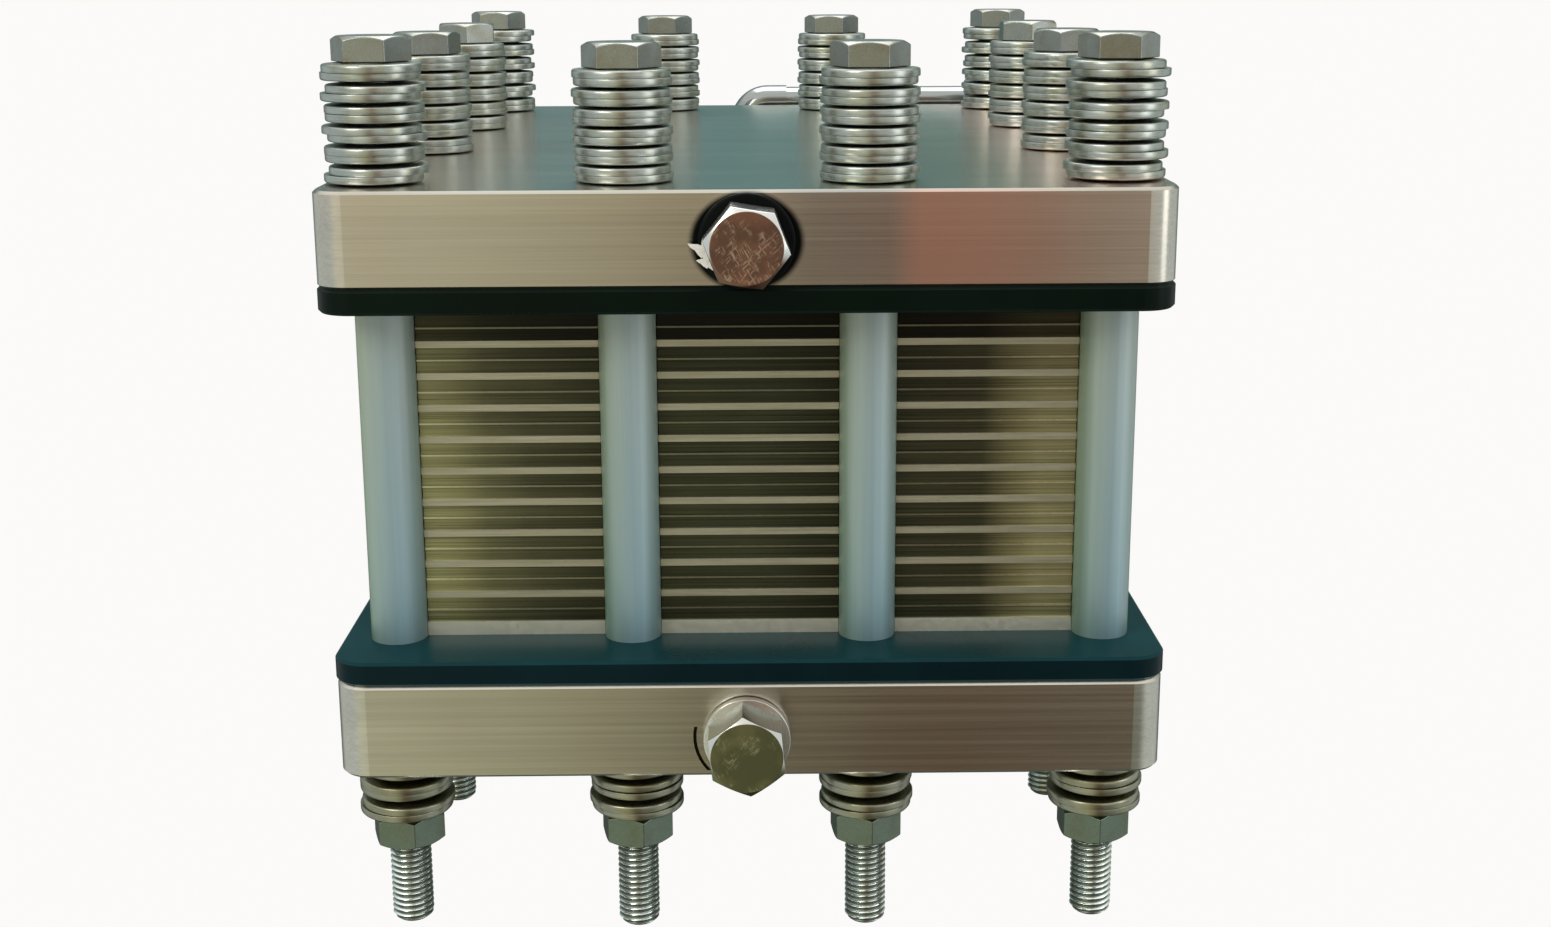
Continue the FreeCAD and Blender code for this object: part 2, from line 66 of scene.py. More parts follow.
# ------------------------------------------------------------------ sizes, as in the CAD model
SLEEVE_R = 8 * MM
SLEEVE_BORE_R = 6.3 * MM
BOLT_R = 6 * MM
BOLT_L = 250 * MM
BOLT_THREAD_L = 40 * MM
THREAD_PITCH = 1.75 * MM
THREAD_DEPTH = 0.95 * MM
HEX_FLATS = 19 * MM
HEAD_H = 6.8 * MM
NUT_BORE_R = 6.05 * MM
DISC_R = 13.4 * MM
DISC_BORE_R = 6.9 * MM
DISC_T = 2.15 * MM
PORT_PITCH = 1.337 * MM
PORT_THREAD_R = 8.3 * MM
PORT_THREAD_DEPTH = 0.8 * MM
SEAL_BORE_R = 8.5 * MM
PLUG_FLATS = 20 * MM
PLUG_SHANK_L = 14 * MM
UPPER_PAIRS, LOWER_PAIRS = 6, 3
SIDE_PLAY, CORNER_PLAY = 0.35 * MM, 0.75 * MM

# A hexagon's first corner from +X in degrees: in the middle of the front row, and how much it
# changes out to the right-hand column and with each row back.  The corners of a head or nut
# repeat every 60 degrees.
HEAD_TURN = (-4.5, -3.4, 19.0)
NUT_TURN = (40.0, -8.0, 19.0)

# Lengths over which the painted light and shade on the stack and the plates run, across and
# downwards.
TONE_SPAN_X = 200 * MM
TONE_SPAN_Z = 100 * MM


# ------------------------------------------------------------------ places, from the frame
def z_span(node):
    low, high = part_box(node)
    return low.z, high.z


def middle(node):
    low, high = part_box(node)
    return (low + high) / 2


HALF_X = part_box("bolt_sleeves")[1].x - SLEEVE_R
HALF_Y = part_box("bolt_sleeves")[1].y - SLEEVE_R
PITCH_X = 2 * HALF_X / 3
PITCH_Y = 2 * HALF_Y / 3
STACK_TOP_Z = z_span("top_terminal_plate")[1]
FRONT_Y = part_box("top_end_plate")[0].y
UPPER_PORT = middle("upper_port_plug")
LOWER_PORT = middle("lower_port_plug")


def bolt_places():
    """(x, y, is_corner) of the twelve bolts round the border of a 4 x 4 grid."""
    places = []
    for i in range(4):
        for j in range(4):
            if i in (0, 3) or j in (0, 3):
                corner = i in (0, 3) and j in (0, 3)
                places.append((-HALF_X + i * PITCH_X, -HALF_Y + j * PITCH_Y, corner))
    return places


CORNER_BOLTS = [(x, y) for x, y, corner in bolt_places() if corner]
SIDE_BOLTS = [(x, y) for x, y, corner in bolt_places() if not corner]
ALL_BOLTS = [(x, y) for x, y, corner in bolt_places()]


def hexagon_turn(x, y, turn):
    """Angle of a head's or nut's first corner from +X, in radians, as in the CAD model."""
    middle_turn, to_the_right, each_row = turn
    return math.radians(middle_turn + to_the_right * x / HALF_X
                        + each_row * (y + HALF_Y) / PITCH_Y)


# ------------------------------------------------------------------ mesh building
class Shape:
    """Vertices and faces gathered from several closed shells."""

    def __init__(self):
        self.verts = []
        self.faces = []

    def add(self, verts, faces, place=None):
        start = len(self.verts)
        if place is not None:
            verts = [place @ Vector(v) for v in verts]
        self.verts += [tuple(v) for v in verts]
        self.faces += [tuple(start + i for i in face) for face in faces]
        return self


def loft(rows, close_rows=False, cap_ends=False):
    """Faces between equal closed rows of points; rows may themselves close on the first."""
    count = len(rows[0])
    verts = [p for row in rows for p in row]
    faces = []
    pairs = len(rows) if close_rows else len(rows) - 1
    for i in range(pairs):
        a, b = i * count, (i + 1) % len(rows) * count
        for j in range(count):
            k = (j + 1) % count
            faces.append((a + j, a + k, b + k, b + j))
    if cap_ends:
        last = (len(rows) - 1) * count
        for base, flip in ((0, True), (last, False)):
            centre = sum((Vector(verts[base + j]) for j in range(count)), Vector()) / count
            verts.append(tuple(centre))
            hub = len(verts) - 1
            for j in range(count):
                k = (j + 1) % count
                pair = (base + k, base + j) if flip else (base + j, base + k)
                faces.append((hub,) + pair)
    return verts, faces


def circle(radius, z, count):
    step = 2 * math.pi / count
    return [(radius * math.cos(step * j), radius * math.sin(step * j), z) for j in range(count)]


def turned_ring(profile, count):
    """A lathe shell from a closed (radius, z) profile that doesn't touch the axis."""
    return loft([circle(r, z, count) for r, z in profile], close_rows=True)


def turned_bar(profile, count):
    """A lathe shell from an open (radius, z) profile, closed by discs at both ends."""
    return loft([circle(r, z, count) for r, z in profile], cap_ends=True)


def rounded(points, radii, steps=4):
    """Round the corners of a closed 2-D outline, each by its own radius."""
    outline = []
    count = len(points)
    for i, (point, radius) in enumerate(zip(points, radii)):
        here = Vector(point)
        back = (Vector(points[i - 1]) - here).normalized()
        ahead = (Vector(points[(i + 1) % count]) - here).normalized()
        half = back.angle(ahead) / 2
        reach = radius / math.tan(half)
        start, end = here + back * reach, here + ahead * reach
        if radius == 0:
            outline.append(tuple(here))
            continue
        centre = here + (back + ahead).normalized() * (radius / math.sin(half))
        first = start - centre
        last = end - centre
        turn = first.angle_signed(last)
        for k in range(steps + 1):
            spoke = first.copy()
            spoke.rotate(Matrix.Rotation(-turn * k / steps, 2))
            outline.append(tuple(centre + spoke))
    return outline


def hexagon_radius(angle, half_flats):
    """Distance from a hexagon's middle to its edge, with a corner at angle 0."""
    return half_flats / math.cos((angle + math.pi / 3) % (math.pi / 3) - math.pi / 6)


def hexagon_bar(across_flats, z_low, z_high, chamfer_low, chamfer_high, turn, bore=None,
                land=0.95):
    """A hexagon with 30 degree corner chamfers that leave a round end, land times the flats
    wide; bore makes it a nut with a countersink."""
    side_steps = 10
    half = across_flats / 2
    face_r = half * land
    slope = math.tan(math.radians(30))
    angles = [math.pi / 3 / side_steps * k for k in range(6 * side_steps)]

    def hex_row(z, towards):
        row = []
        for a in angles:
            r = hexagon_radius(a, half)
            drop = (r - face_r) * slope if towards else 0
            row.append((r * math.cos(a + turn), r * math.sin(a + turn), z - towards * drop))
        return row

    def round_row(r, z):
        return [(r * math.cos(a + turn), r * math.sin(a + turn), z) for a in angles]

    rows = []
    if bore:
        sink = 0.8 * MM
        rows.append(round_row(bore, z_low + sink))
        rows.append(round_row(bore + sink, z_low))
    if chamfer_low:
        rows.append(round_row(face_r, z_low))
    rows.append(hex_row(z_low, -1 if chamfer_low else 0))
    rows.append(hex_row(z_high, 1 if chamfer_high else 0))
    if chamfer_high:
        rows.append(round_row(face_r, z_high))
    if bore:
        rows.append(round_row(bore + sink, z_high))
        rows.append(round_row(bore, z_high - sink))
    return loft(rows, close_rows=bool(bore), cap_ends=not bore)


def thread(radius, depth, pitch, z_low, z_high, count=40, rows_a_turn=10):
    """A right-hand screw thread, chamfered at its low end."""
    steps = max(2, int(round((z_high - z_low) / (pitch / rows_a_turn))))
    lead_in, lead_slope = 1.5 * MM, 1.2
    crest_share, flank_share = 0.08, 0.74
    rows = []
    for i in range(steps + 1):
        z = z_low + (z_high - z_low) * i / steps
        limit = min(radius, radius - lead_in + (z - z_low) * lead_slope)
        row = []
        for j in range(count):
            a = 2 * math.pi * j / count
            phase = (z / pitch - j / count) % 1.0
            wave = abs(phase * 2 - 1)
            flank = min(1.0, max(0.0, (wave - crest_share) / flank_share))
            r = min(limit, radius - depth * flank)
            row.append((r * math.cos(a), r * math.sin(a), z))
        rows.append(row)
    return loft(rows, cap_ends=True)


BEVEL_OVER = 24


def make_object(name, shape, material, body, node, bevel=0.0, sharp=38):
    """A piece on a body, in place of a CAD node.

    With bevel, edges over BEVEL_OVER degrees are rounded; without, those over sharp stay crisp.
    """
    mesh = bpy.data.meshes.new(name)
    mesh.from_pydata(shape.verts, [], shape.faces)
    mesh.validate()
    mesh.shade_smooth()
    mesh.materials.append(material)
    piece = bpy.data.objects.new(name, mesh)
    bpy.context.scene.collection.objects.link(piece)
    if bevel:
        cut = piece.modifiers.new("edge_round", "BEVEL")
        cut.width = bevel
        cut.segments = 2
        cut.limit_method = "ANGLE"
        cut.angle_limit = math.radians(BEVEL_OVER)
        cut.harden_normals = True
    else:
        mesh.set_sharp_from_angle(angle=math.radians(sharp))
    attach(piece, body)
    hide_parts(node)
    return piece


# ------------------------------------------------------------------ materials
WHITE = (1.0, 1.0, 1.0)


def rgb(colour):
    """Three numbers stay a colour; one number makes a grey."""
    return colour if isinstance(colour, tuple) else (colour, colour, colour)


class Nodes:
    """Short names for building a node tree."""

    def __init__(self, tree):
        self.tree = tree

    def link(self, source, target):
        self.tree.links.new(source, target)

    def give(self, socket, value):
        """Link a socket to another's output, or set its constant."""
        if hasattr(value, "is_output"):
            self.link(value, socket)
        elif isinstance(value, tuple) and socket.type == "RGBA" and len(value) == 3:
            socket.default_value = (*value, 1)
        else:
            socket.default_value = value

    def node(self, kind, inputs=None, **settings):
        made = self.tree.nodes.new(kind)
        for key, value in settings.items():
            setattr(made, key, value)
        for key, value in (inputs or {}).items():
            self.give(made.inputs[key], value)
        return made

    def math(self, operation, first, second=0.0, third=0.0):
        made = self.node("ShaderNodeMath", operation=operation)
        for socket, value in zip(made.inputs, (first, second, third)):
            self.give(socket, value)
        return made.outputs[0]

    def product(self, first, *others):
        for other in others:
            first = self.math("MULTIPLY", first, other)
        return first

    def length(self, first, second):
        """Length of a flat vector."""
        squares = self.product(first, first), self.product(second, second)
        return self.math("SQRT", self.math("ADD", *squares))

    def within(self, value, centre, half):
        """1 where value lies less than half away from centre, else 0."""
        away = self.math("ABSOLUTE", self.math("SUBTRACT", value, centre))
        return self.math("LESS_THAN", away, half)

    def step(self, value, low, high):
        """0 at low, 1 at high, smooth between; low may be the larger one."""
        inputs = {"Value": value, "From Min": low, "From Max": high}
        made = self.node("ShaderNodeMapRange", inputs, interpolation_type="SMOOTHSTEP")
        return made.outputs[0]

    def ramp(self, value, stops):
        """Colours, or greys given as one number, by value from 0 to 1."""
        made = self.node("ShaderNodeValToRGB", {"Fac": value})
        elements = made.color_ramp.elements
        while len(elements) < len(stops):
            elements.new(0.5)
        for element, (position, colour) in zip(elements, stops):
            element.position = position
            element.color = (*rgb(colour), 1)
        return made.outputs["Color"]

    def mix(self, factor, first, second, blend="MIX"):
        made = self.node("ShaderNodeMix", data_type="RGBA", blend_type=blend)
        for index, value in ((0, factor), (6, first), (7, second)):
            self.give(made.inputs[index], value)
        return made.outputs[2]

    def shaded(self, colour, *shades):
        """A colour multiplied by one or more shades."""
        for shade in shades:
            colour = self.mix(1.0, colour, shade, "MULTIPLY")
        return colour


class Graph(Nodes):
    """One Principled material over object coordinates, which are metres in the frame."""

    def __init__(self, name):
        self.material = bpy.data.materials.new(name)
        self.material.use_nodes = True
        super().__init__(self.material.node_tree)
        self.shader = self.tree.nodes["Principled BSDF"]
        self.coords = self.tree.nodes.new("ShaderNodeTexCoord").outputs["Object"]

    def place(self, axis):
        """One coordinate, in metres: 0 left to right, 1 front to back, 2 upwards."""
        return self.node("ShaderNodeSeparateXYZ", {"Vector": self.coords}).outputs[axis]

    def facing(self, axis):
        """How squarely a surface faces along an axis: 1 towards plus, -1 towards minus."""
        normal = self.node("ShaderNodeNewGeometry").outputs["Normal"]
        return self.node("ShaderNodeSeparateXYZ", {"Vector": normal}).outputs[axis]

    def square_to(self, axis):
        """How squarely a surface faces along an axis, either way, from 0 to 1."""
        return self.math("ABSOLUTE", self.facing(axis))

    def stretch(self, scale, turn=(0, 0, 0)):
        """Coordinates turned and then scaled, for grain that runs one way."""
        turned = self.node("ShaderNodeMapping", {"Vector": self.coords, "Rotation": turn})
        inputs = {"Vector": turned.outputs[0], "Scale": scale}
        return self.node("ShaderNodeMapping", inputs).outputs[0]

    def noise(self, scale, vector=None, detail=3.0, rough=0.6):
        inputs = {"Vector": vector or self.coords, "Scale": scale, "Detail": detail,
                  "Roughness": rough}
        return self.node("ShaderNodeTexNoise", inputs).outputs["Fac"]

    def spread(self, value, low, high):
        """Map a 0 to 1 value onto low to high."""
        return self.math("MULTIPLY_ADD", value, high - low, low)

    def bump(self, height, strength, distance):
        inputs = {"Height": height, "Strength": strength, "Distance": distance}
        self.link(self.node("ShaderNodeBump", inputs).outputs[0], self.shader.inputs["Normal"])

    def set(self, **sockets):
        for key, value in sockets.items():
            self.give(self.shader.inputs[key.replace("_", " ")], value)


def share_across(g):
    """Place from left to right, as 0 to 1 over the middle TONE_SPAN_X."""
    return g.math("MULTIPLY_ADD", g.place(0), 1 / TONE_SPAN_X, 0.5)


def below_stack_top(g):
    """Depth below the stack's top, in metres."""
    return g.math("SUBTRACT", STACK_TOP_Z, g.place(2))


def plate_front(g):
    """1 on the end plates' front face, fading out over its edge."""
    return g.step(g.place(1), FRONT_Y + 1.0 * MM, FRONT_Y + 0.2 * MM)


def front_patch(g, left, right):
    """A patch of the upper plate's front face, for painted reflections; left and right say where
    its sides fade in.
    """
    across = g.place(0)
    on_upper_plate = g.step(g.place(2), 170 * MM, 180 * MM)
    return g.product(g.step(across, *left), g.step(across, *right), on_upper_plate,
                     plate_front(g))


def port_ring_shadow(g):
    """Painted shadow round the upper port's seal ring on the plate's front, slightly wider than
    high.
    """
    width_share = 0.88
    across = g.math("MULTIPLY", g.place(0), width_share)
    up = g.math("SUBTRACT", g.place(2), UPPER_PORT.z - 0.2 * MM)
    return g.product(g.step(g.length(across, up), 14.0 * MM, 12.2 * MM), plate_front(g))


def ring_score(g):
    """The groove that a seal ring scored into the lower plate, left of its plug."""
    beside_port = g.within(g.place(0), LOWER_PORT.x - 12 * MM, 5 * MM)
    mid_edge = g.within(g.place(2), LOWER_PORT.z - 1 * MM, 9 * MM)
    below_face = g.math("GREATER_THAN", g.place(1), FRONT_Y + 0.2 * MM)
    near_face = g.math("LESS_THAN", g.place(1), FRONT_Y + 5 * MM)
    return g.product(beside_port, mid_edge, below_face, near_face)


def brushed_plate_material():
    """Ground stainless plates: long fine grain, faint clouds, and painted reflections and a
    painted shadow that stay in place.
    """
    g = Graph("ground_stainless_plate")
    along_x = g.stretch((6.0, 1100.0, 1100.0))
    along_y = g.stretch((1100.0, 6.0, 1100.0))
    faces_side = g.math("GREATER_THAN", g.square_to(0), 0.6)
    grain = g.noise(1.0, g.mix(faces_side, along_x, along_y), 5.0, 0.7)
    broad = g.noise(1.0, g.stretch((3.0, 60.0, 60.0)))
    cloud = g.noise(14.0, None, 2.0, 0.5)
    tint = g.ramp(cloud, [(0.35, (0.64, 0.62, 0.55)), (0.55, (0.62, 0.59, 0.52)),
                          (0.72, (0.60, 0.54, 0.47))])
    streak = g.ramp(grain, [(0.30, 0.86), (0.70, 1.06)])
    band = g.ramp(broad, [(0.35, 0.93), (0.65, 1.04)])
    colour = g.shaded(tint, streak, band)

    # Painted reflection: a reddish patch on the upper plate's front, right of the port.
    painted_red_reflection = front_patch(g, (35 * MM, 47 * MM), (100 * MM, 50 * MM))
    colour = g.mix(painted_red_reflection, colour, (0.72, 0.52, 0.46))
    # Painted reflection: a darker, bluish patch on the upper plate's front, just right of the
    # port.
    painted_darkening = front_patch(g, (2 * MM, 20 * MM), (47 * MM, 36 * MM))
    colour = g.shaded(colour, g.mix(painted_darkening, WHITE, (0.81, 0.84, 0.91)))
    # Painted shadow round the upper port.
    colour = g.mix(port_ring_shadow(g), colour, (0.008, 0.012, 0.012))

    # Painted reflections on the plates' flat tops: cooler and darker from the middle to the right,
    # brighter and pinker at the right end.
    flat_top = g.math("GREATER_THAN", g.square_to(2), 0.9)
    painted_top_reflection = g.ramp(share_across(g), [
        (0.30, WHITE), (0.45, (0.84, 0.94, 0.95)), (0.62, (0.80, 0.90, 0.88)),
        (0.72, (0.67, 0.73, 0.65)), (0.86, (0.85, 0.88, 0.80)), (0.93, (1.40, 1.18, 1.22))])
    colour = g.shaded(colour, g.mix(flat_top, WHITE, painted_top_reflection))
    colour = g.mix(ring_score(g), colour, (0.02, 0.02, 0.012))
    g.set(Base_Color=colour, Metallic=1.0, Roughness=g.spread(grain, 0.17, 0.30))
    g.bump(grain, 0.12, 0.02 * MM)
    return g.material


def steel_material(name, colour, stained, rough=(0.22, 0.38)):
    """Machined or pressed steel with fine scratches and stains."""
    g = Graph(name)
    fine = g.noise(2600.0)
    blotch = g.noise(160.0)
    stain = g.ramp(blotch, [(0.45, 0.0), (0.68, 1.0)])
    base = g.mix(g.math("MULTIPLY", stain, 0.75), colour, stained)
    shade = g.ramp(fine, [(0.3, 0.82), (0.7, 1.1)])
    g.set(Base_Color=g.shaded(base, shade), Metallic=1.0, Roughness=g.spread(blotch, *rough))
    g.bump(fine, 0.05, 0.01 * MM)
    return g.material


def thread_material():
    """Rolled bolt threads: painted highlights on pale crests over painted shade in dark roots,
    told apart by distance from the axis.
    """
    g = Graph("thread_steel")
    aside = g.math("WRAP", g.math("ADD", g.place(0), HALF_X), PITCH_X / 2, -PITCH_X / 2)
    behind = g.math("WRAP", g.math("ADD", g.place(1), HALF_Y), PITCH_Y / 2, -PITCH_Y / 2)
    # Painted light on the threads: crests pale as if lit, roots dark as if shaded.
    crest = g.step(g.length(aside, behind), BOLT_R - 0.85 * THREAD_DEPTH,
                   BOLT_R - 0.25 * THREAD_DEPTH)
    pale = g.ramp(g.noise(160.0), [(0.4, (0.93, 1.0, 0.97)), (0.7, (0.80, 0.82, 0.72))])
    g.set(Base_Color=g.mix(crest, (0.11, 0.135, 0.12), pale), Metallic=1.0,
          Roughness=g.spread(crest, 0.45, 0.24))
    return g.material


def disc_spring_material(name, shade):
    """Disc springs: turning marks round the rim and straw stains; shade multiplies the colour, and
    for the lower discs it is a painted shade with an olive tint.
    """
    g = Graph(name)
    rings = g.noise(1.0, g.stretch((150.0, 150.0, 5200.0)), 4.0, 0.65)
    stain = g.ramp(g.noise(130.0), [(0.48, 0.0), (0.66, 1.0)])
    base = g.mix(g.math("MULTIPLY", stain, 0.65), (0.47, 0.50, 0.47), (0.38, 0.38, 0.27))
    marks = g.ramp(rings, [(0.3, 0.72), (0.7, 1.12)])
    g.set(Base_Color=g.shaded(base, shade, marks), Metallic=1.0,
          Roughness=g.spread(rings, 0.20, 0.40))
    g.bump(rings, 0.2, 0.03 * MM)
    return g.material


def insulator_material():
    """Dark blue-green laminate slabs with a glossy, faintly wavy face and darker edges."""
    g = Graph("dark_laminate")
    cloud = g.noise(30.0)
    fine = g.noise(1500.0, None, 2.0, 0.5)
    upper_slab = g.step(g.place(2), 100 * MM, 160 * MM)
    side = g.mix(upper_slab, (0.001, 0.010, 0.013), (0.001, 0.005, 0.003))
    flat = g.mix(upper_slab, (0.003, 0.041, 0.050), (0.006, 0.012, 0.010))
    colour = g.mix(g.square_to(2), side, flat)
    shade = g.ramp(cloud, [(0.3, 0.8), (0.7, 1.15)])
    g.set(Base_Color=g.shaded(colour, shade), Roughness=g.spread(cloud, 0.24, 0.34), IOR=1.18)
    g.bump(fine, 0.08, 0.02 * MM)
    return g.material


def sleeve_material():
    """Satin grey-blue plastic tube, slightly see-through.

    Its colour drifts with the height, and painted reflections lie over it in fixed stripes by the
    way the surface faces.
    """
    g = Graph("sleeve_plastic")
    draw = g.noise(1.0, g.stretch((500.0, 500.0, 6.0)))
    colour = g.ramp(g.math("MULTIPLY", g.place(2), 4.5),
                    [(0.35, (0.170, 0.265, 0.290)), (0.85, (0.235, 0.275, 0.250))])
    shade = g.ramp(draw, [(0.3, 0.92), (0.7, 1.05)])
    # Painted reflections round each sleeve: warm on the left, a bright bluish streak right of the
    # middle.
    painted_reflection_bands = g.ramp(g.math("MULTIPLY_ADD", g.facing(0), 0.5, 0.5), [
        (0.04, (0.80, 0.82, 0.58)), (0.22, (1.08, 1.08, 0.95)), (0.42, (0.98, 1.02, 1.02)),
        (0.55, (0.95, 1.02, 1.10)), (0.74, (1.18, 1.24, 1.34)), (0.96, (0.90, 0.92, 0.86))])
    g.set(Base_Color=g.shaded(colour, painted_reflection_bands, shade), Roughness=g.spread(draw, 0.30, 0.42),
          IOR=1.65, Subsurface_Weight=0.15, Subsurface_Radius=(0.002, 0.003, 0.003))
    g.bump(draw, 0.06, 0.05 * MM)
    return g.material


def stack_light_and_shade(g):
    """Painted light and shade over the stack: a painted shadow deepest near its top, under the top
    insulator, and painted reflections that are bright at its left and right ends and darkest
    between the middle and the right.
    """
    # Painted reflections across the stack: bright at both ends, dark between.
    across = g.ramp(share_across(g), [
        (0.05, (0.86, 0.86, 0.80)), (0.09, (0.68, 0.66, 0.60)), (0.13, (0.38, 0.38, 0.36)),
        (0.19, (0.235, 0.235, 0.23)), (0.28, (0.15, 0.155, 0.145)), (0.50, (0.17, 0.185, 0.185)),
        (0.62, (0.10, 0.11, 0.10)), (0.72, (0.145, 0.155, 0.155)), (0.83, (0.20, 0.205, 0.19)),
        (0.87, (0.66, 0.62, 0.56)), (0.91, (1.0, 0.97, 0.92))])
    # Painted shadow under the top insulator: darkest in the top ten millimetres, gone by 70 mm
    # down.
    down = g.ramp(g.math("MULTIPLY", below_stack_top(g), 1 / TONE_SPAN_Z),
                  [(0.105, (0.10, 0.10, 0.08)), (0.125, 0.55), (0.35, 0.85), (0.70, 1.0)])
    return g.shaded(across, down)


def edge_metal_material():
    """Sheared edges of the separator plates: pale, with small nicks, a burr coloured nearly white
    where faces look up or down as a painted highlight, and painted shadow just under the stack's
    top.
    """
    g = Graph("separator_edge_metal")
    along = g.noise(1.0, g.stretch((40.0, 40.0, 1500.0)), 4.0, 0.65)
    nick = g.noise(700.0, None, 2.0, 0.5)
    colour = g.ramp(along, [(0.3, (0.35, 0.34, 0.24)), (0.7, (0.51, 0.50, 0.40))])
    # Painted highlight: faces that look up or down are nearly white, as a lit burr.
    colour = g.mix(g.square_to(2), colour, (1.0, 0.97, 0.88))
    # Painted shadow in the top few millimetres, under the top insulator.
    lid_shadow = g.step(below_stack_top(g), 3 * MM, 6 * MM)
    colour = g.mix(lid_shadow, (0.03, 0.03, 0.02), colour)
    at_foot = g.step(below_stack_top(g), 90 * MM, 92 * MM)
    colour = g.mix(at_foot, colour, (0.88, 0.88, 0.76))
    g.set(Base_Color=colour, Metallic=0.85, Roughness=g.spread(nick, 0.28, 0.5))
    g.bump(nick, 0.3, 0.05 * MM)
    return g.material


def frame_material():
    """Dark olive-brown moulded channel frames with a satin skin, under the stack's painted light
    and shade.
    """
    g = Graph("channel_frame_plastic")
    layer = g.noise(1.0, g.stretch((12.0, 12.0, 2400.0)), 4.0, 0.65)
    cloud = g.noise(40.0, None, 2.0, 0.5)
    colour = g.ramp(cloud, [(0.3, (0.29, 0.29, 0.16)), (0.7, (0.38, 0.38, 0.21))])
    shade = g.ramp(layer, [(0.3, 0.55), (0.7, (1.30, 1.30, 1.25))])
    # The stack's painted light and shade multiplies the frames' colour.
    g.set(Base_Color=g.shaded(colour, stack_light_and_shade(g), shade), Metallic=0.7,
          Roughness=g.spread(layer, 0.22, 0.36))
    g.bump(layer, 0.15, 0.03 * MM)
    return g.material


def sheet_material():
    """Thin pressed sheets: metal edges, darkened in part by the same painted light and shade as
    the frames round them.
    """
    g = Graph("sheet_edge")
    fine = g.noise(900.0)
    colour = g.ramp(fine, [(0.3, (0.85, 0.85, 0.62)), (0.7, (1.0, 1.0, 0.78))])
    # Painted shade: a softened share of the stack's painted light and shade.
    painted_darkening = g.mix(0.35, stack_light_and_shade(g), rgb(0.5))
    g.set(Base_Color=g.shaded(colour, painted_darkening), Metallic=1.0, Roughness=g.spread(fine, 0.25, 0.40))
    g.bump(fine, 0.1, 0.02 * MM)
    return g.material


def plug_face_material(name, dark, light, mark, flank):
    """Bright turned plug; the flat end is matt and scored by diagonal scratches, and faces that
    look downwards get painted shade.
    """
    g = Graph(name)
    first = g.noise(1.0, g.stretch((2600.0, 1.0, 300.0), (0, -0.75, 0)))
    second = g.noise(1.0, g.stretch((2300.0, 1.0, 340.0), (0, 0.50, 0)))
    faces_front = g.math("GREATER_THAN", g.square_to(1), 0.93)
    patch = g.step(g.noise(150.0), 0.46, 0.58)
    scratch = g.step(g.math("MAXIMUM", first, second), 0.55, 0.64)
    worn = g.product(scratch, patch)
    cloud = g.step(g.noise(120.0, None, 2.0, 0.5), 0.38, 0.62)
    face = g.mix(worn, g.mix(cloud, dark, light), mark)
    side = g.mix(g.step(g.square_to(1), 0.08, 0.25), flank, (0.74, 0.74, 0.72))
    # Painted shade: faces that look downwards take the dark colour.
    side = g.mix(g.step(g.facing(2), -0.05, -0.22), side, dark)
    g.set(Base_Color=g.mix(faces_front, side, face), Metallic=1.0,
          Roughness=g.spread(faces_front, 0.22, 0.34))
    g.bump(g.product(worn, faces_front), 0.3, 0.04 * MM)
    return g.material


def tube_material():
    """Polished tube with faint drawing marks along it."""
    g = Graph("polished_tube")
    draw = g.noise(1.0, g.stretch((8.0, 700.0, 700.0)))
    colour = g.ramp(draw, [(0.3, (0.31, 0.33, 0.33)), (0.7, (0.38, 0.40, 0.40))])
    g.set(Base_Color=colour, Metallic=1.0, Roughness=g.spread(draw, 0.12, 0.24))
    g.bump(draw, 0.05, 0.02 * MM)
    return g.material


def plain_material(name, grain, low, high, rough, bump, along=None, **sockets):
    """A soft or painted part: two close colours over a fine grain."""
    g = Graph(name)
    fine = g.noise(grain, g.stretch(along) if along else None)
    g.set(Base_Color=g.ramp(fine, [(0.3, low), (0.7, high)]), Roughness=g.spread(fine, *rough),
          **sockets)
    g.bump(fine, *bump)
    return g.material


